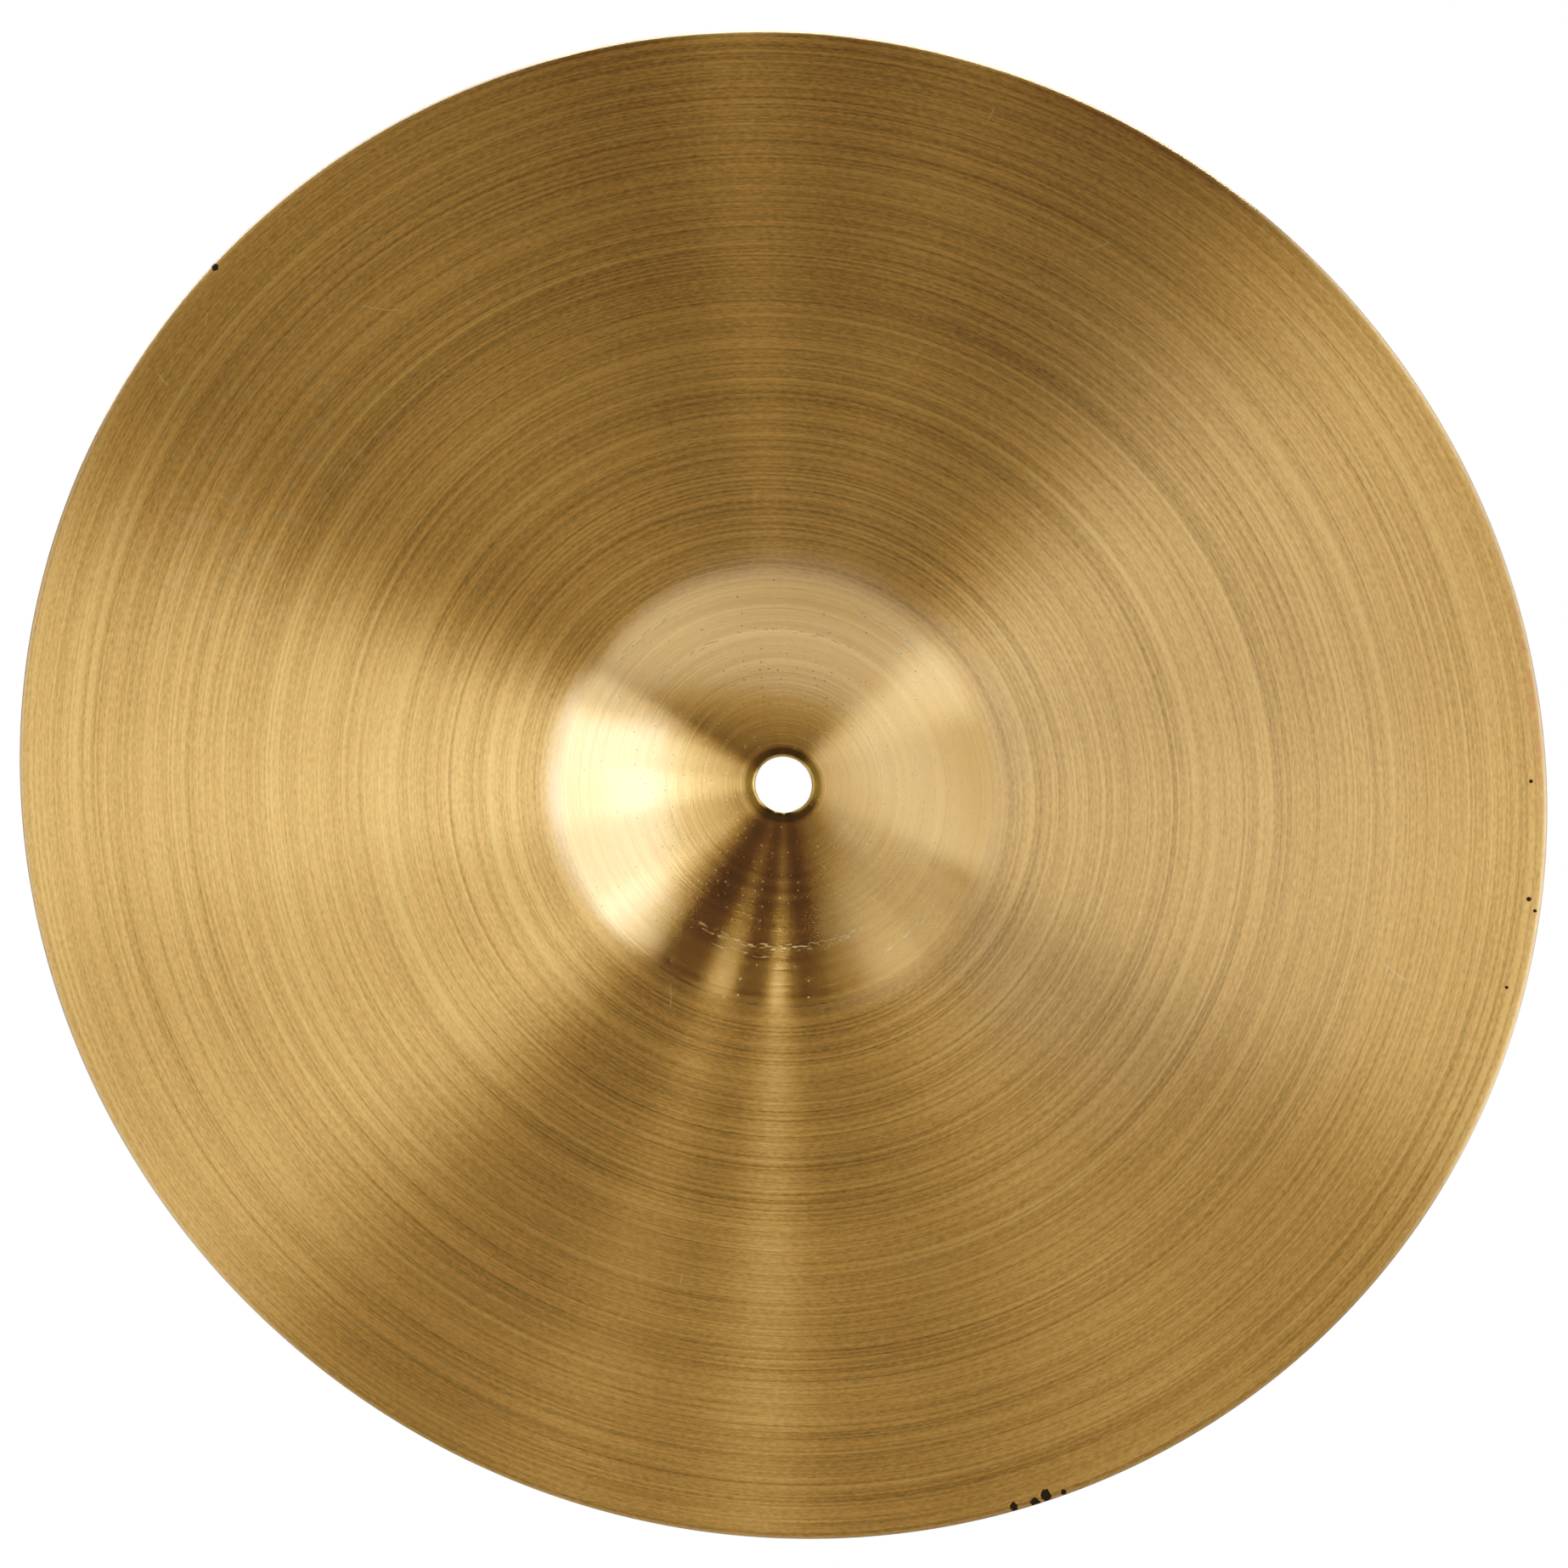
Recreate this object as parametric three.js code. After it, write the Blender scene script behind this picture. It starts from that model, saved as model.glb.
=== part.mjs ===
// A thin crash cymbal: one round sheet of brass, spun into a shallow bow with a raised
// bell in its middle, and pierced by a single hole on its axis. It stands on its rim,
// bell up, with +Z along its axis and the origin in the middle of the rim's plane.
// Every size is in millimetres.

import * as THREE from 'three';

// Driving dimensions.
const RIM_RADIUS = 355.6 / 2; // a 14 inch cymbal, measured over its edge
const SHEET_THICKNESS = 1.0;
const HOLE_RADIUS = 14 / 2; // clears the sleeve on a cymbal stand's rod
const SEAT_RADIUS = 9.5; // outer edge of the flat felt seat round the hole
const BELL_RADIUS = 54; // where the bell would meet the bow without its rounded foot
const BOW_RISE = 32; // from the rim up to the foot of the bell
const BELL_RISE = 13.4; // from the foot of the bell up to its crown
const BOW_ROUNDNESS = 0.1; // the bow is nearly a cone, a little rounded
const BELL_ROUNDNESS = 1; // the bell is a full paraboloid
const FOOT_ROUNDING = 0.8; // how softly the bell runs out into the bow

// Centre of the round that finishes the rim's section.
const RIM_CENTRE_RADIUS = RIM_RADIUS - SHEET_THICKNESS / 2;

// How finely the round surfaces are cut into facets. Each span of a face runs from the
// radius where the one before it ends, the first from the hole.
const TURN_STEPS = 96;
const EDGE_TURN = Math.PI / 4; // angle between neighbouring points of the rounded rim
const FOOT_REACH = 4; // how far the curve at the bell's foot reaches to each side
const FACE_SPANS = [
  { name: 'seat', end: SEAT_RADIUS, steps: 1 },
  { name: 'bell', end: BELL_RADIUS - FOOT_REACH, steps: 7 },
  { name: 'foot', end: BELL_RADIUS + FOOT_REACH, steps: 6 },
  { name: 'bow', end: RIM_CENTRE_RADIUS, steps: 8 },
];

// Height of a dome that is `rise` high on the axis and reaches zero at `footRadius`.
// Its roundness is 0 for a straight cone and 1 for a paraboloid.
function domeHeight(radius, footRadius, rise, roundness) {
  const share = radius / footRadius;
  return rise * (1 - share) * (1 + roundness * share);
}

// Height of the sheet's middle surface above the rim: the bow and the bell are two
// domes, and the higher one wins, with a rounded corner where they cross.
function middleHeight(radius) {
  const bowCrown = BOW_RISE / domeHeight(BELL_RADIUS, RIM_RADIUS, 1, BOW_ROUNDNESS);
  const bow = domeHeight(radius, RIM_RADIUS, bowCrown, BOW_ROUNDNESS);
  const bell = BOW_RISE + domeHeight(radius, BELL_RADIUS, BELL_RISE, BELL_ROUNDNESS);
  return (bow + bell + Math.hypot(bow - bell, FOOT_ROUNDING)) / 2;
}

// The slope of the middle surface, as the angle by which it falls towards the rim.
function fallAngle(radius) {
  const reach = 0.1;
  const drop = middleHeight(radius - reach) - middleHeight(radius + reach);
  return Math.atan(drop / (2 * reach));
}

// A point on one face of the sheet: side is 1 for the top face and -1 for the underside.
// Inside the seat's edge both faces are flat.
function facePoint(radius, side) {
  const outward = Math.max(radius, SEAT_RADIUS);
  const halfThickness = SHEET_THICKNESS / 2 / Math.cos(fallAngle(outward));
  return new THREE.Vector2(radius, middleHeight(outward) + side * halfThickness);
}

// The radii at which a face is sampled, from the hole out to the rounded rim.
function faceRadii() {
  const radii = [HOLE_RADIUS];
  for (const span of FACE_SPANS) {
    const start = radii.at(-1);
    for (let i = 1; i <= span.steps; i += 1) {
      radii.push(THREE.MathUtils.lerp(start, span.end, i / span.steps));
    }
  }
  return radii;
}

// The rounded rim, between the ends of the two faces.
function rimPoints() {
  const height = middleHeight(RIM_CENTRE_RADIUS);
  return [-EDGE_TURN, 0, EDGE_TURN].map((angle) => new THREE.Vector2(
    RIM_CENTRE_RADIUS + Math.cos(angle) * SHEET_THICKNESS / 2,
    height + Math.sin(angle) * SHEET_THICKNESS / 2,
  ));
}

// The closed section of the sheet: out along the underside, round the rim, back along
// the top, and down the wall of the hole.
function sheetSection() {
  const underside = faceRadii().map((radius) => facePoint(radius, -1));
  const top = faceRadii().reverse().map((radius) => facePoint(radius, 1));
  return [...underside, ...rimPoints(), ...top, underside[0].clone()];
}

function makeCymbal() {
  const geometry = new THREE.LatheGeometry(sheetSection(), TURN_STEPS);
  geometry.rotateX(Math.PI / 2);
  geometry.computeBoundingBox();
  geometry.translate(0, 0, -geometry.boundingBox.min.z); // the rim stands on z = 0
  const brass = new THREE.MeshStandardMaterial({ color: 0xb98f48, roughness: 0.35, metalness: 1 });
  const mesh = new THREE.Mesh(geometry, brass);
  mesh.name = 'cymbal';
  return mesh;
}

const part = new THREE.Group();
part.add(makeCymbal());

export default part;
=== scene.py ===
"""A thin crash cymbal of brushed, lacquered brass, seen from below its rim."""

import math

import bpy
from mathutils import Matrix, Vector


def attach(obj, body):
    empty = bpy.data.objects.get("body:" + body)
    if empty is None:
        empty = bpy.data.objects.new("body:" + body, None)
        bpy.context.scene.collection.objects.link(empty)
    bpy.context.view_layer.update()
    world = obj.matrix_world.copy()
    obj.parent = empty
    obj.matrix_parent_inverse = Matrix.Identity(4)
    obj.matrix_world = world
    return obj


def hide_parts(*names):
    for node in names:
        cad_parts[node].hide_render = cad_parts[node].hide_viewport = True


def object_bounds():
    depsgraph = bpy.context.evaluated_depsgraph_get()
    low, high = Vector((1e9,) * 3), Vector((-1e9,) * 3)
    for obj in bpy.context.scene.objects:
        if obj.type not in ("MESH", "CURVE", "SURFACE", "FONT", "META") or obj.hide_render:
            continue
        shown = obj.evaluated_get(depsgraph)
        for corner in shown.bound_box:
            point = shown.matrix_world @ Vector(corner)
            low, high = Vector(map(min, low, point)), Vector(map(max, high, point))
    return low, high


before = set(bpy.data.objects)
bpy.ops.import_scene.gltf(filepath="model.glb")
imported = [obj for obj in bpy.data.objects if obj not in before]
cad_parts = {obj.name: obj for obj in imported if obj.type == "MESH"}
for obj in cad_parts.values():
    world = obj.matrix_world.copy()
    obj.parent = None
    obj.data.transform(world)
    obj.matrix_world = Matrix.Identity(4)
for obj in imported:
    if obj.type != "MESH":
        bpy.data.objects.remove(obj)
cad_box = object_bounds()

# ------------------------------------------------------------------ driving sizes, metres

MM = 0.001
RIM_RADIUS = (cad_box[1][0] - cad_box[0][0]) / 2
THICKNESS = 1.0 * MM
HOLE_RADIUS = 7.0 * MM
SEAT_RADIUS = 9.5 * MM
BELL_RADIUS = 54 * MM
BOW_RISE = 32 * MM
BELL_RISE = 13.4 * MM
BOW_ROUNDNESS = 0.1  # 0 is a straight cone, 1 a paraboloid
BELL_ROUNDNESS = 1
FOOT_ROUNDING = 0.8 * MM
FOOT_START = BELL_RADIUS - 4 * MM  # the curve at the bell's foot runs from here
FOOT_END = BELL_RADIUS + 4 * MM
HOLE_CHAMFER = 0.2 * MM

# The turning tool leaves the faces very slightly wavy: wavelength and height of each wave.
LATHE_WAVES = ((31 * MM, 0.020 * MM), (9 * MM, 0.004 * MM))

# How finely the mesh is cut: steps round the axis and round the rim's edge, and the spacing
# of the rings on each region of the underside. The top face's rings are twice as far apart.
TURN_STEPS = 360
RIM_STEPS = 8
SEAT_STEP = 0.9 * MM
BELL_STEP = 1.0 * MM
FOOT_STEP = 0.35 * MM
BOW_STEP = 1.3 * MM
TOP_COARSENESS = 2

CAMERA_DISTANCE = 0.68
CAMERA_TILT = math.radians(15.8)  # between the cymbal's axis and the line to the camera
CAMERA_LEAN = math.radians(56)  # where the camera leans, anticlockwise from the right
CAMERA_LENS = 67.73
CAMERA_SENSOR = 36.0

BRASS = (0.90, 0.55, 0.225)
PALE_BRASS = (0.93, 0.70, 0.42)
# Pale colour of the scratches, also used for the painted glints on the specks.
SCRATCH_AND_GLINT = (1.0, 0.82, 0.50)
COPPER = (0.80, 0.40, 0.20)
NICK = (0.13, 0.09, 0.045)
# The colour of the painted shade at the seat round the hole.
PAINTED_SEAT_SHADE = (0.40, 0.28, 0.08)
FLOOR = (0.40, 0.40, 0.395)

BOW_ROUGHNESS = 0.34
BELL_ROUGHNESS = 0.22
BOW_TONE = 0.97
BELL_LIGHT_TONE = 1.11  # painted light: the bell's colour is made brighter than the bow's
COAT_ROUGHNESS = 0.15
COAT_IOR = 1.6
RELIEF_DEPTH = 0.02 * MM

# Turning marks: how far apart, how long, and how strong.
TURNING_MARKS = (
    (0.38 * MM, 1.5 * MM, 0.62),
    (0.50 * MM, 140 * MM, 0.80),
    (1.0 * MM, 280 * MM, 0.40),
    (3.2 * MM, 500 * MM, 0.19),
    (11 * MM, 800 * MM, 0.13),
)
BELL_MARKS = 0.35  # how strong they are on the bell, compared with the bow

# Marks on the underside. Azimuths are in degrees, seen from below, anticlockwise from the
# right. Chatter: radius, width, middle azimuth, half of its span, and how sparse.
CHATTER_ARCS = (
    (39.5 * MM, 1.0 * MM, 100, 42, 0.60),
    (39.5 * MM, 1.6 * MM, -96, 36, 0.58),
    (42.0 * MM, 1.0 * MM, -103, 10, 0.56),
    (49.6 * MM, 1.0 * MM, 58, 12, 0.56),
    (50.0 * MM, 1.0 * MM, 132, 10, 0.58),
    (46.5 * MM, 1.2 * MM, -44, 12, 0.60),
)

# Hairline scratches: azimuth, radius, direction, length, and how far they bend.
HAIRLINES = (
    (127, 146 * MM, -8, 9 * MM, 2.0 * MM),
    (138, 171 * MM, 75, 3.5 * MM, 0.8 * MM),
    (144, 171 * MM, -55, 4 * MM, 1.2 * MM),
    (72, 168 * MM, 62, 4 * MM, 0.6 * MM),
    (60, 152 * MM, 20, 5 * MM, 1.0 * MM),
    (-117, 57 * MM, 92, 7 * MM, 0.8 * MM),
    (-12, 150 * MM, -35, 7 * MM, 0.8 * MM),
    (-100, 120 * MM, 80, 3 * MM, 0.2 * MM),
)
HAIRLINE_WIDTH = 0.22 * MM

# A dry stain on the bow, a worn stretch of the rim, and the pitted ring round the hole.
STAIN_RING = (118 * MM, 164 * MM)
STAIN_AZIMUTH = 146
WORN_AZIMUTH = 11
PITTED_RING = (13 * MM, 34 * MM)

# Dents along the rim: azimuth, how far in, and size.
EDGE_NICKS = (
    (-66.6, 1.6 * MM, 1.5 * MM),
    (-67.6, 0.7 * MM, 1.3 * MM),
    (-69.3, 1.2 * MM, 1.1 * MM),
    (-65.2, 1.0 * MM, 0.7 * MM),
    (134.5, 0.8 * MM, 0.9 * MM),
    (5.2, 3.4 * MM, 0.45 * MM),
    (-3.6, 2.8 * MM, 0.55 * MM),
    (-4.4, 1.2 * MM, 0.45 * MM),
    (-10.5, 4.0 * MM, 0.40 * MM),
)


# ------------------------------------------------------------------ the sheet's shape


def dome_height(radius, foot_radius, rise, roundness):
    """Height of a dome, `rise` high on the axis and zero at its foot."""
    share = radius / foot_radius
    return rise * (1 - share) * (1 + roundness * share)


def middle_height(radius):
    """Height of the sheet's middle surface above the rim: the higher of bow and bell."""
    bow_crown = BOW_RISE / dome_height(BELL_RADIUS, RIM_RADIUS, 1, BOW_ROUNDNESS)
    bow = dome_height(radius, RIM_RADIUS, bow_crown, BOW_ROUNDNESS)
    bell = BOW_RISE + dome_height(radius, BELL_RADIUS, BELL_RISE, BELL_ROUNDNESS)
    return (bow + bell + math.hypot(bow - bell, FOOT_ROUNDING)) / 2


def fall_angle(radius):
    """The angle by which the middle surface falls towards the rim."""
    reach = 0.1 * MM
    drop = middle_height(radius - reach) - middle_height(radius + reach)
    return math.atan(drop / (2 * reach))


def lathe_wave(radius):
    """The waviness left by turning, nothing at the seat and nothing at the rim."""
    along = (radius - SEAT_RADIUS) / (RIM_RADIUS - SEAT_RADIUS)
    fade = math.sin(math.pi * min(1, max(0, along))) ** 0.5
    return fade * sum(high * math.sin(2 * math.pi * radius / long) for long, high in LATHE_WAVES)


def face_point(radius, side):
    """Radius and height of a point on the top face (side 1) or the underside (side -1)."""
    outward = max(radius, SEAT_RADIUS)
    half = THICKNESS / 2 / math.cos(fall_angle(outward))
    return radius, middle_height(outward) + side * half + lathe_wave(radius)


def spaced(start, end, step):
    """Radii from just after start to end, about a step apart."""
    count = max(1, round((end - start) / step))
    return [start + (end - start) * i / count for i in range(1, count + 1)]


def face_radii(coarseness):
    """The radii of a face's rings, closer together where its slope changes."""
    radii = [HOLE_RADIUS + HOLE_CHAMFER]
    radii += spaced(radii[-1], SEAT_RADIUS, SEAT_STEP * coarseness)
    radii += spaced(SEAT_RADIUS, FOOT_START, BELL_STEP * coarseness)
    radii += spaced(FOOT_START, FOOT_END, FOOT_STEP * coarseness)
    radii += spaced(FOOT_END, RIM_RADIUS - THICKNESS / 2, BOW_STEP * coarseness)
    return radii


def rim_round():
    """The half round that joins the two faces at the rim."""
    centre = RIM_RADIUS - THICKNESS / 2
    points = []
    for i in range(1, RIM_STEPS):
        angle = math.pi * (i / RIM_STEPS - 0.5)
        across = math.cos(angle) * THICKNESS / 2
        up = math.sin(angle) * THICKNESS / 2
        points.append((centre + across, middle_height(centre) + up))
    return points


def hole_wall():
    """The wall of the hole, between its two chamfers, from the top down."""
    top = face_point(HOLE_RADIUS, 1)[1] - HOLE_CHAMFER
    bottom = face_point(HOLE_RADIUS, -1)[1] + HOLE_CHAMFER
    return [(HOLE_RADIUS, top), (HOLE_RADIUS, bottom)]


def sheet_section():
    """The closed section: out along the underside, round the rim and back along the top."""
    underside = [face_point(radius, -1) for radius in face_radii(1)]
    top = [face_point(radius, 1) for radius in reversed(face_radii(TOP_COARSENESS))]
    section = underside + rim_round() + top + hole_wall()
    lowest = min(height for radius, height in section)
    return [(radius, height - lowest) for radius, height in section]


def turned(name, section):
    """A closed section turned once round the axis."""
    count = len(section)
    points = []
    faces = []
    for i in range(TURN_STEPS):
        angle = 2 * math.pi * i / TURN_STEPS
        points += [(r * math.cos(angle), r * math.sin(angle), z) for r, z in section]
        this = i * count
        following = (i + 1) % TURN_STEPS * count
        for k in range(count):
            m = (k + 1) % count
            faces.append((this + k, following + k, following + m, this + m))
    mesh = bpy.data.meshes.new(name)
    mesh.from_pydata(points, [], faces)
    mesh.shade_smooth()
    piece = bpy.data.objects.new(name, mesh)
    bpy.context.scene.collection.objects.link(piece)
    return piece


# ------------------------------------------------------------------ node helpers


class Nodes:
    """Adds shader nodes to one tree. Inputs are values or other nodes' outputs."""

    def __init__(self, tree):
        self.tree = tree

    def add(self, kind, inputs, **settings):
        node = self.tree.nodes.new(kind)
        for name, value in settings.items():
            setattr(node, name, value)
        for name, value in inputs.items():
            if isinstance(value, bpy.types.NodeSocket):
                self.tree.links.new(value, node.inputs[name])
            else:
                node.inputs[name].default_value = value
        return node

    def math(self, operation, first, second=0.0):
        return self.add("ShaderNodeMath", {0: first, 1: second}, operation=operation).outputs[0]

    def ramp(self, value, start, end, low=0.0, high=1.0):
        """Runs smoothly from low, where the value is at start, to high, where it is at end."""
        inputs = {"Value": value, "From Min": start, "From Max": end, "To Min": low, "To Max": high}
        return self.add("ShaderNodeMapRange", inputs, interpolation_type="SMOOTHSTEP").outputs[0]

    def band(self, value, start, end, soft):
        """1 between start and end, with soft ends."""
        rising = self.ramp(value, start - soft, start + soft)
        falling = self.ramp(value, end - soft, end + soft, 1, 0)
        return self.math("MULTIPLY", rising, falling)

    def product(self, *factors):
        result = factors[0]
        for factor in factors[1:]:
            result = self.math("MULTIPLY", result, factor)
        return result

    def mix(self, share, first, second):
        inputs = {"Factor": share, 6: first, 7: second}
        node = self.add("ShaderNodeMix", inputs, data_type="RGBA")
        return node.outputs[2]

    def noise(self, vector, detail=0.0):
        inputs = {"Vector": vector, "Scale": 1.0, "Detail": detail, "Roughness": 0.5}
        return self.add("ShaderNodeTexNoise", inputs).outputs["Fac"]


# ------------------------------------------------------------------ the brass


def round_axis(azimuth, radius):
    """A place in the rim's plane, by its azimuth in degrees, seen from below."""
    angle = math.radians(azimuth)
    return radius * math.cos(angle), -radius * math.sin(angle), 0


class Place:
    """Where a point is on the cymbal, as sockets: x, y, radius, and 1 on the underside."""

    def __init__(self, nodes):
        position = nodes.add("ShaderNodeTexCoord", {}).outputs["Object"]
        split = nodes.add("ShaderNodeSeparateXYZ", {0: position})
        self.nodes = nodes
        self.x = split.outputs[0]
        self.y = split.outputs[1]
        flat = nodes.add("ShaderNodeCombineXYZ", {0: self.x, 1: self.y}).outputs[0]
        length = nodes.add("ShaderNodeVectorMath", {0: flat}, operation="LENGTH")
        self.flat = flat
        self.radius = length.outputs["Value"]
        normal = nodes.add("ShaderNodeNewGeometry", {}).outputs["True Normal"]
        facing = nodes.add("ShaderNodeSeparateXYZ", {0: normal}).outputs[2]
        self.underside = nodes.math("LESS_THAN", facing, 0)

    def rings(self, pitch, length, seed, detail=0.0):
        """Streaks that run round the axis: `length` long and `pitch` apart."""
        across = self.nodes.math("MULTIPLY", self.radius, 1 / pitch)
        shifted = self.nodes.math("ADD", across, seed)
        along_x = self.nodes.math("MULTIPLY", self.x, 1 / length)
        along_y = self.nodes.math("MULTIPLY", self.y, 1 / length)
        vector = self.nodes.add("ShaderNodeCombineXYZ", {0: along_x, 1: along_y, 2: shifted})
        return self.nodes.noise(vector.outputs[0], detail)

    def blotches(self, size, seed, detail=3.0):
        """Cloudy patches about `size` across."""
        scaled = self.nodes.add("ShaderNodeVectorMath", {0: self.flat, "Scale": 1 / size},
                                operation="SCALE")
        vector = self.nodes.add("ShaderNodeVectorMath", {0: scaled.outputs[0], 1: (seed, 0, 0)})
        return self.nodes.noise(vector.outputs[0], detail)

    def sector(self, azimuth, half_width, soft):
        """1 within half_width of an azimuth, seen from below, all angles in degrees."""
        dot = self.nodes.add("ShaderNodeVectorMath", {0: self.flat, 1: round_axis(azimuth, 1)},
                             operation="DOT_PRODUCT")
        cosine = self.nodes.math("DIVIDE", dot.outputs["Value"], self.radius)
        away = self.nodes.math("ARCCOSINE", cosine)
        start = math.radians(half_width + soft)
        end = math.radians(half_width - soft)
        return self.nodes.ramp(away, start, end)


def turning_marks(nodes, place):
    """How much lighter or darker the turning marks make the brass, about zero."""
    tone = 0.0
    for pitch, length, weight in TURNING_MARKS:
        marks = place.rings(pitch, length, pitch / MM * 37, 1.0)
        tone = nodes.math("ADD", tone, nodes.product(nodes.math("SUBTRACT", marks, 0.5), weight))
    calm = nodes.ramp(place.radius, FOOT_START, FOOT_END, BELL_MARKS, 1.0)
    return nodes.product(tone, calm)


def specks(nodes, place, spacing, size, share):
    """Scattered dots of many sizes: one in each cell of a loose grid, in a share of them."""
    scaled = nodes.add("ShaderNodeVectorMath", {0: place.flat, "Scale": 1 / spacing},
                       operation="SCALE")
    cells = nodes.add("ShaderNodeTexVoronoi", {"Vector": scaled.outputs[0], "Scale": 1.0},
                      voronoi_dimensions="2D")
    lots = nodes.add("ShaderNodeSeparateXYZ", {0: cells.outputs["Color"]}).outputs
    reach = nodes.product(nodes.ramp(lots[1], 0, 1, 0.5, 1.2), size / spacing)
    away = nodes.math("DIVIDE", cells.outputs["Distance"], reach)
    return nodes.product(nodes.ramp(away, 1.0, 0.5), nodes.math("GREATER_THAN", lots[0], 1 - share))


def chatter(nodes, place):
    """Short bright dashes where the turning tool chattered, in arcs on the bell."""
    dashes = place.rings(0.45 * MM, 2.2 * MM, 300)
    total = 0.0
    for radius, width, azimuth, half_width, threshold in CHATTER_ARCS:
        ring = nodes.band(place.radius, radius - width / 2, radius + width / 2, 0.3 * MM)
        bright = nodes.ramp(dashes, threshold, threshold + 0.06)
        arc = nodes.product(ring, bright, place.sector(azimuth, half_width, 5))
        total = nodes.math("MAXIMUM", total, arc)
    return total


def hairlines(nodes, place):
    """Fine, slightly curved scratches."""
    total = 0.0
    for azimuth, radius, direction, length, bend in HAIRLINES:
        middle = round_axis(azimuth, radius)
        along_axis = round_axis(direction, 1)
        across_axis = round_axis(direction + 90, 1)
        offset = nodes.add("ShaderNodeVectorMath", {0: place.flat, 1: middle}, operation="SUBTRACT")
        along = nodes.add("ShaderNodeVectorMath", {0: offset.outputs[0], 1: along_axis},
                          operation="DOT_PRODUCT").outputs["Value"]
        across = nodes.add("ShaderNodeVectorMath", {0: offset.outputs[0], 1: across_axis},
                           operation="DOT_PRODUCT").outputs["Value"]
        bow = nodes.product(along, along, bend / length ** 2)
        away = nodes.math("ABSOLUTE", nodes.math("SUBTRACT", across, bow))
        inside = nodes.ramp(nodes.math("ABSOLUTE", along), length / 2, length / 3)
        line = nodes.product(nodes.ramp(away, HAIRLINE_WIDTH, HAIRLINE_WIDTH / 3), inside)
        total = nodes.math("MAXIMUM", total, line)
    return total


def edge_nicks(nodes, place):
    """Small dark dents along the rim."""
    total = 0.0
    for azimuth, inward, size in EDGE_NICKS:
        middle = round_axis(azimuth, RIM_RADIUS - inward)
        away = nodes.add("ShaderNodeVectorMath", {0: place.flat, 1: middle}, operation="DISTANCE")
        ragged = place.blotches(0.8 * MM, 20, 2.0)
        reach = nodes.math("ADD", away.outputs["Value"], nodes.product(ragged, size))
        total = nodes.math("MAXIMUM", total, nodes.ramp(reach, size * 1.55, size * 1.25))
    return total


def dust_pits_and_glints(nodes, place):
    """Specks of dust and pits, thinly over the underside and thicker in the ring round the hole;
    the colour also paints pale glints on them.
    """
    ring = nodes.band(place.radius, *PITTED_RING, 4 * MM)
    pits = nodes.product(specks(nodes, place, 2.2 * MM, 0.26 * MM, 0.45), ring)
    dust_and_glints = nodes.math("MAXIMUM", specks(nodes, place, 4.3 * MM, 0.24 * MM, 0.4), pits)
    return nodes.product(dust_and_glints, place.underside)


def scratches(nodes, place):
    """The chatter dashes and the hairlines, on the underside only."""
    marks = nodes.math("MAXIMUM", chatter(nodes, place), hairlines(nodes, place))
    return nodes.product(marks, place.underside)


def clean_colour(nodes, place):
    """Brass with its turning marks and faint clouds, and the bell's colour made brighter as painted
    light.
    """
    clouds = nodes.product(nodes.math("SUBTRACT", place.blotches(45 * MM, 5), 0.5), 0.10)
    # Painted light: the bell's colour is raised above the bow's.
    painted_bell_light = nodes.ramp(place.radius, FOOT_START, FOOT_END, BELL_LIGHT_TONE, BOW_TONE)
    shade = nodes.math("ADD", nodes.math("ADD", turning_marks(nodes, place), clouds), painted_bell_light)
    plain = nodes.add("ShaderNodeCombineXYZ", {0: BRASS[0], 1: BRASS[1], 2: BRASS[2]})
    scaled = nodes.add("ShaderNodeVectorMath", {0: plain.outputs[0], "Scale": shade},
                       operation="SCALE")
    return scaled.outputs[0]


def stain(nodes, place):
    """How much of the dry, mottled stain there is."""
    mottle = nodes.ramp(place.blotches(5 * MM, 50, 5.0), 0.50, 0.62)
    ring = nodes.band(place.radius, *STAIN_RING, 12 * MM)
    return nodes.product(mottle, ring, place.sector(STAIN_AZIMUTH, 13, 12), place.underside, 0.16)


def worn_rim(nodes, place):
    """How far the rim is worn down to a coppery colour."""
    near_edge = nodes.ramp(place.radius, RIM_RADIUS - 3 * MM, RIM_RADIUS - 1 * MM)
    patchy = nodes.ramp(place.blotches(2.5 * MM, 90), 0.42, 0.55)
    return nodes.product(near_edge, patchy, place.sector(WORN_AZIMUTH, 7, 3), 0.8)


def brass_colour(nodes, place, dust_and_glints, marks, nicks):
    """The clean colour, and over it the stain, the rim's wear, a painted highlight along the rim,
    painted shade round the seat, specks with painted glints, and scratches.
    """
    # Painted highlight: a pale line all round the rim's edge.
    painted_rim_highlight = nodes.ramp(place.radius, RIM_RADIUS - 1.1 * MM, RIM_RADIUS - 0.5 * MM, 0, 0.45)
    # Painted shade: a dark ring at the seat round the hole, on the underside.
    painted_seat_shade = nodes.ramp(place.radius, SEAT_RADIUS + 0.5 * MM, SEAT_RADIUS - 0.6 * MM)
    layers = (
        (stain(nodes, place), PALE_BRASS),
        (worn_rim(nodes, place), COPPER),
        (painted_rim_highlight, PALE_BRASS),
        (nodes.product(painted_seat_shade, place.underside, 0.75), PAINTED_SEAT_SHADE),
        # Painted glints: the real dust and pits are mixed toward a pale colour, as if catching
        # light.
        (nodes.product(dust_and_glints, 0.3), SCRATCH_AND_GLINT),
        (nodes.product(marks, 0.65), SCRATCH_AND_GLINT),
        (nicks, NICK),
    )
    colour = clean_colour(nodes, place)
    for share, tint in layers:
        colour = nodes.mix(share, colour, (*tint, 1))
    return colour


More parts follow.
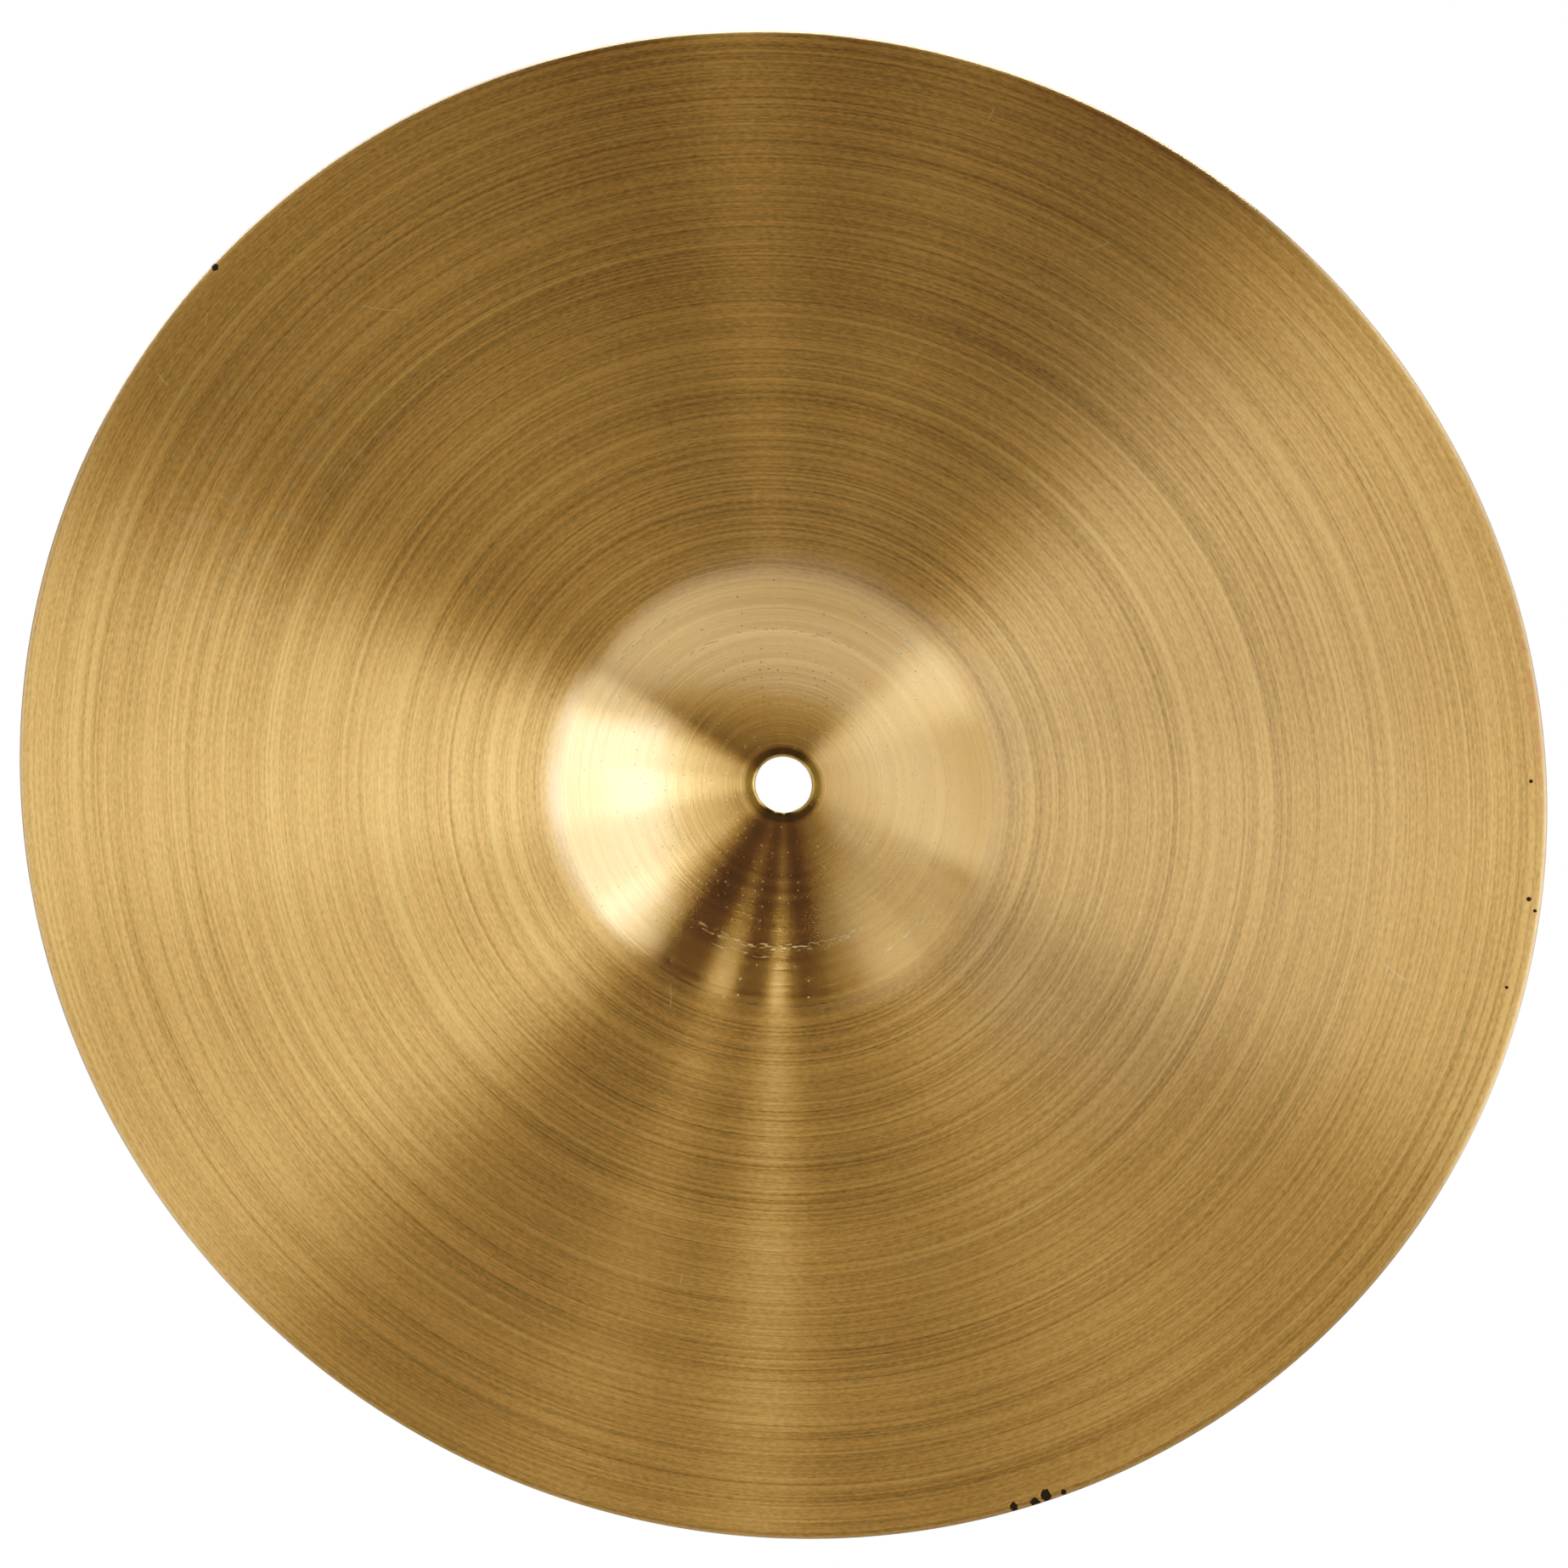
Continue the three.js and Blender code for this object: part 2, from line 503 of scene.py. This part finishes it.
def brass_roughness(nodes, place, dust_and_glints, marks, nicks):
    """Smoother on the bell than on the bow, uneven from ring to ring, and rough on marks."""
    rough = nodes.ramp(place.radius, FOOT_START, FOOT_END, BELL_ROUGHNESS, BOW_ROUGHNESS)
    rings = nodes.math("SUBTRACT", place.rings(1.6 * MM, 60 * MM, 120, 1.0), 0.5)
    for roughening, weight in ((rings, 0.10), (dust_and_glints, 0.20), (marks, 0.12), (nicks, 0.4)):
        rough = nodes.math("ADD", rough, nodes.product(roughening, weight))
    return rough


def brass_relief(nodes, place, marks, nicks):
    """Fine grooves, raised scratches and sunken dents, fading out just inside the rim."""
    grooves = place.rings(0.5 * MM, 30 * MM, 160, 1.0)
    relief = nodes.math("ADD", grooves, nodes.product(marks, 0.3))
    relief = nodes.math("SUBTRACT", relief, nodes.product(nicks, 4.0))
    smooth_rim = nodes.ramp(place.radius, RIM_RADIUS - 2 * MM, RIM_RADIUS - 0.8 * MM, 1, 0)
    relief = nodes.product(relief, smooth_rim)
    inputs = {"Height": relief, "Distance": RELIEF_DEPTH, "Strength": 1.0}
    return nodes.add("ShaderNodeBump", inputs).outputs[0]


def brass():
    """Turned, lacquered brass with its wear, brushed round the axis."""
    material = bpy.data.materials.new("brushed_brass")
    material.use_nodes = True
    nodes = Nodes(material.node_tree)
    place = Place(nodes)
    dust_and_glints = dust_pits_and_glints(nodes, place)
    marks = scratches(nodes, place)
    nicks = edge_nicks(nodes, place)
    around = nodes.add("ShaderNodeTangent", {}, direction_type="RADIAL", axis="Z").outputs[0]

    shader = material.node_tree.nodes["Principled BSDF"]
    links = material.node_tree.links
    links.new(brass_colour(nodes, place, dust_and_glints, marks, nicks), shader.inputs["Base Color"])
    links.new(brass_roughness(nodes, place, dust_and_glints, marks, nicks), shader.inputs["Roughness"])
    links.new(brass_relief(nodes, place, marks, nicks), shader.inputs["Normal"])
    links.new(around, shader.inputs["Tangent"])
    shader.inputs["Metallic"].default_value = 1.0
    shader.inputs["Anisotropic"].default_value = 1.0
    shader.inputs["Anisotropic Rotation"].default_value = 0.25
    shader.inputs["Coat Weight"].default_value = 1.0
    shader.inputs["Coat Roughness"].default_value = COAT_ROUGHNESS
    shader.inputs["Coat IOR"].default_value = COAT_IOR
    return material


cymbal = turned("cymbal_sheet", sheet_section())
cymbal.data.materials.append(brass())
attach(cymbal, "root")
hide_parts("cymbal")


# ------------------------------------------------------------------ the camera


def below(azimuth, polar, distance):
    """A point below the rim: azimuth seen from below, polar measured from the axis."""
    across = math.sin(polar) * distance
    down = math.cos(polar) * distance
    return Vector((across * math.cos(azimuth), -across * math.sin(azimuth), -down))


def look(thing, target, up):
    """Turns a camera or light so that it looks at the target."""
    forward = (target - thing.location).normalized()
    right = forward.cross(up).normalized()
    axes = Matrix((right, right.cross(forward), -forward))
    thing.rotation_euler = axes.transposed().to_euler()


def make_camera():
    """A tilted view from below the rim, with the outline in the middle."""
    data = bpy.data.cameras.new("camera")
    data.lens = CAMERA_LENS
    data.sensor_width = CAMERA_SENSOR
    camera = bpy.data.objects.new("camera", data)
    bpy.context.scene.collection.objects.link(camera)
    camera.location = below(CAMERA_LEAN, CAMERA_TILT, CAMERA_DISTANCE)
    # Perspective moves the middle of the rim's outline towards the camera's side.
    shift = RIM_RADIUS ** 2 * math.sin(CAMERA_TILT) * math.cos(CAMERA_TILT) / CAMERA_DISTANCE
    aim = Vector((shift * math.cos(CAMERA_LEAN), -shift * math.sin(CAMERA_LEAN), 0))
    look(camera, aim, Vector((0, -1, 0)))
    bpy.context.scene.camera = camera


make_camera()


# ------------------------------------------------------------------ the studio

PANEL_DISTANCE = 1.0
FLOOR_SIZE = 40
FLOOR_GLOW = 1.1  # times its colour, so that it stays pale far from the lights
LIGHT_FROM_BELOW = 0.06
LIGHT_FROM_ABOVE = 0.22
HORIZON_SOFTNESS = 0.1  # how far up the one turns into the other, as a sine

# The camera's response: dark tones are deepened, and light ones roll off.
TONE_POINTS = ((0.05, 0.025), (0.12, 0.12), (0.32, 0.40), (0.60, 0.70))

# White panels round the cymbal, below its rim, each flat and facing it. In degrees: the way
# the panel lies and its span of azimuth, seen from below and anticlockwise from the right,
# then its span of polar angle, from straight down. The last number is its radiance.
PANELS = {
    "key": (0, -49, 29, 17, 36, 2.05),
    "key_core": (-27, -38, -16, 22, 30, 2.55),
    "key_upper": (20, 22, 48, 24, 44, 1.5),
    "key_low": (-44, -58, -28, 30, 49, 0.95),
    "right_wall": (3, -40, 48, 42, 64, 0.43),
    "right_wall_far": (3, -40, 48, 64, 88, 1.15),
    "top_wall_left": (139, 112, 162, 76, 90, 4.7),
    "top_wall_right": (84, 52, 116, 76, 90, 8.7),
    "strip_right": (79, 77, 81, 60, 88, 1.8),
    "strip_left": (101, 99, 103, 46, 88, 4.8),
    "strip_inner": (81, 76, 87, 31, 43, 1.3),
    "left_strip": (190, 182, 230, 20, 34, 0.55),
    "left_wall": (200, 180, 230, 34, 50, 0.83),
    "left_far": (205, 177, 230, 50, 78, 0.32),
    "upper_left_strip": (160, 136, 182, 22, 38, 0.37),
    "upper_left_wall": (156, 140, 176, 38, 58, 0.39),
    "upper_left_far": (132, 118, 150, 58, 74, 1.25),
    "bottom_wall": (266, 214, 305, 44, 57, 0.79),
    "bottom_wall_near": (266, 232, 312, 36, 44, 0.73),
}

# Softboxes above the floor, for the views of the top: azimuth seen from below and angle from
# straight up, in degrees, then width in metres and radiance.
SOFTBOXES = {
    "top_side_key": (56, 14, 0.8, 2.2),
    "top_side_fill": (-110, 58, 0.6, 1.3),
    "top_side_left": (165, 62, 0.4, 2.0),
}


def panel(name, heading, start, end, near, far, radiance):
    """A flat panel of light that covers a span of directions."""
    polar = math.radians(near + far) / 2
    reach = PANEL_DISTANCE * math.sin(polar)
    first = reach * math.tan(math.radians(start - heading))
    last = reach * math.tan(math.radians(end - heading))
    data = bpy.data.lights.new(name, "AREA")
    data.shape = "RECTANGLE"
    data.size = last - first
    data.size_y = 2 * PANEL_DISTANCE * math.tan(math.radians(far - near) / 2)
    data.energy = math.pi * radiance * data.size * data.size_y
    light = bpy.data.objects.new(name, data)
    bpy.context.scene.collection.objects.link(light)
    facing = below(math.radians(heading), polar, PANEL_DISTANCE)
    sideways = below(math.radians(heading + 90), math.pi / 2, (first + last) / 2)
    light.location = facing + sideways
    look(light, sideways, Vector((0, 0, 1)))
    light.visible_camera = False


def softbox(name, azimuth, slant, width, radiance):
    """A square softbox above the cymbal."""
    data = bpy.data.lights.new(name, "AREA")
    data.size = width
    data.energy = math.pi * radiance * width ** 2
    light = bpy.data.objects.new(name, data)
    bpy.context.scene.collection.objects.link(light)
    polar = math.pi - math.radians(slant)
    light.location = below(math.radians(azimuth), polar, PANEL_DISTANCE)
    look(light, Vector((0, 0, 0)), Vector((0, 0, 1)))
    light.visible_camera = False


def pale_floor():
    """A floor under the rim. It is seen from above only, so the camera below sees past it."""
    bpy.ops.mesh.primitive_plane_add(size=FLOOR_SIZE)
    floor = bpy.context.object
    floor.name = "floor"
    material = bpy.data.materials.new("floor")
    material.use_nodes = True
    nodes = Nodes(material.node_tree)
    shader = material.node_tree.nodes["Principled BSDF"]
    shader.inputs["Base Color"].default_value = (*FLOOR, 1)
    shader.inputs["Roughness"].default_value = 0.9
    shader.inputs["Emission Color"].default_value = (*FLOOR, 1)
    shader.inputs["Emission Strength"].default_value = FLOOR_GLOW
    from_below = nodes.add("ShaderNodeNewGeometry", {}).outputs["Backfacing"]
    clear = nodes.add("ShaderNodeBsdfTransparent", {}).outputs[0]
    inputs = {0: from_below, 1: shader.outputs[0], 2: clear}
    shown = nodes.add("ShaderNodeMixShader", inputs).outputs[0]
    output = material.node_tree.nodes["Material Output"]
    material.node_tree.links.new(shown, output.inputs["Surface"])
    floor.data.materials.append(material)
    floor.visible_diffuse = False
    floor.visible_glossy = False
    floor.visible_transmission = False
    floor.visible_shadow = False


for name, sizes in PANELS.items():
    panel(name, *sizes)
for name, sizes in SOFTBOXES.items():
    softbox(name, *sizes)
pale_floor()


def make_world():
    """White behind the cymbal, soft light from above the rim, and hardly any from below it."""
    world = bpy.data.worlds.new("studio")
    bpy.context.scene.world = world
    world.use_nodes = True
    nodes = Nodes(world.node_tree)
    direction = nodes.add("ShaderNodeTexCoord", {}).outputs["Generated"]
    upward = nodes.add("ShaderNodeSeparateXYZ", {0: direction}).outputs[2]
    light = nodes.ramp(upward, 0, HORIZON_SOFTNESS, LIGHT_FROM_BELOW, LIGHT_FROM_ABOVE)
    seen = nodes.add("ShaderNodeLightPath", {}).outputs["Is Camera Ray"]
    background = world.node_tree.nodes["Background"]
    background.inputs["Color"].default_value = (1, 1, 1, 1)
    strength = nodes.math("MAXIMUM", seen, light)
    world.node_tree.links.new(strength, background.inputs["Strength"])


make_world()


def set_tone():
    """Bends the picture's tones through TONE_POINTS."""
    view = bpy.context.scene.view_settings
    view.view_transform = "Standard"
    view.use_curve_mapping = True
    curve = view.curve_mapping.curves[3]  # the one for red, green and blue together
    for darker, lighter in TONE_POINTS:
        curve.points.new(darker, lighter)
    view.curve_mapping.update()


set_tone()
